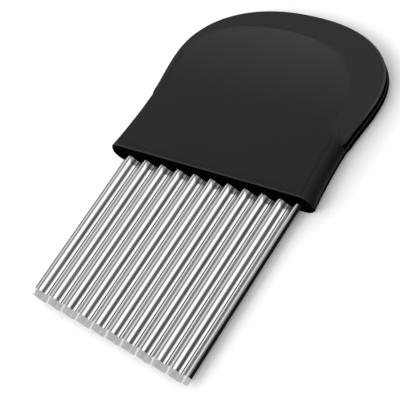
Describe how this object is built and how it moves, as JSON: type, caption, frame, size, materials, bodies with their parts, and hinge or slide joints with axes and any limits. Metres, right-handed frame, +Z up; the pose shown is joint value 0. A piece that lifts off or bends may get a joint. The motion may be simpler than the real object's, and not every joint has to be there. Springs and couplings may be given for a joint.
{
  "type": "crinkle cutter",
  "caption": "Hand-held crinkle cutter: a wide corrugated steel blade with a slanted ground edge, held in a flat black moulded palm handle with a rounded end.",
  "frame": {"origin": "on the surface that the cutter lies on, under the middle of its overall length and width", "axes": "+Y from the blade to the handle, +Z up through the handle's thickness, +X towards the longer side of the blade"},
  "size_m": [0.0782, 0.1356, 0.0086],
  "materials": {
    "blade_steel": "stainless sheet, brushed along the waves, ground matt at the edge",
    "black_plastic": "black moulded ABS with a fine satin texture",
    "pin_steel": "plain steel pin, hidden"
  },
  "bodies": {
    "root": {"blade": "blade_steel", "lower_shell": "black_plastic", "upper_shell": "black_plastic", "tang_pin_left": "pin_steel", "tang_pin_centre": "pin_steel", "tang_pin_right": "pin_steel", "grip_pin_left": "pin_steel", "grip_pin_right": "pin_steel"}
  },
  "joints": []
}
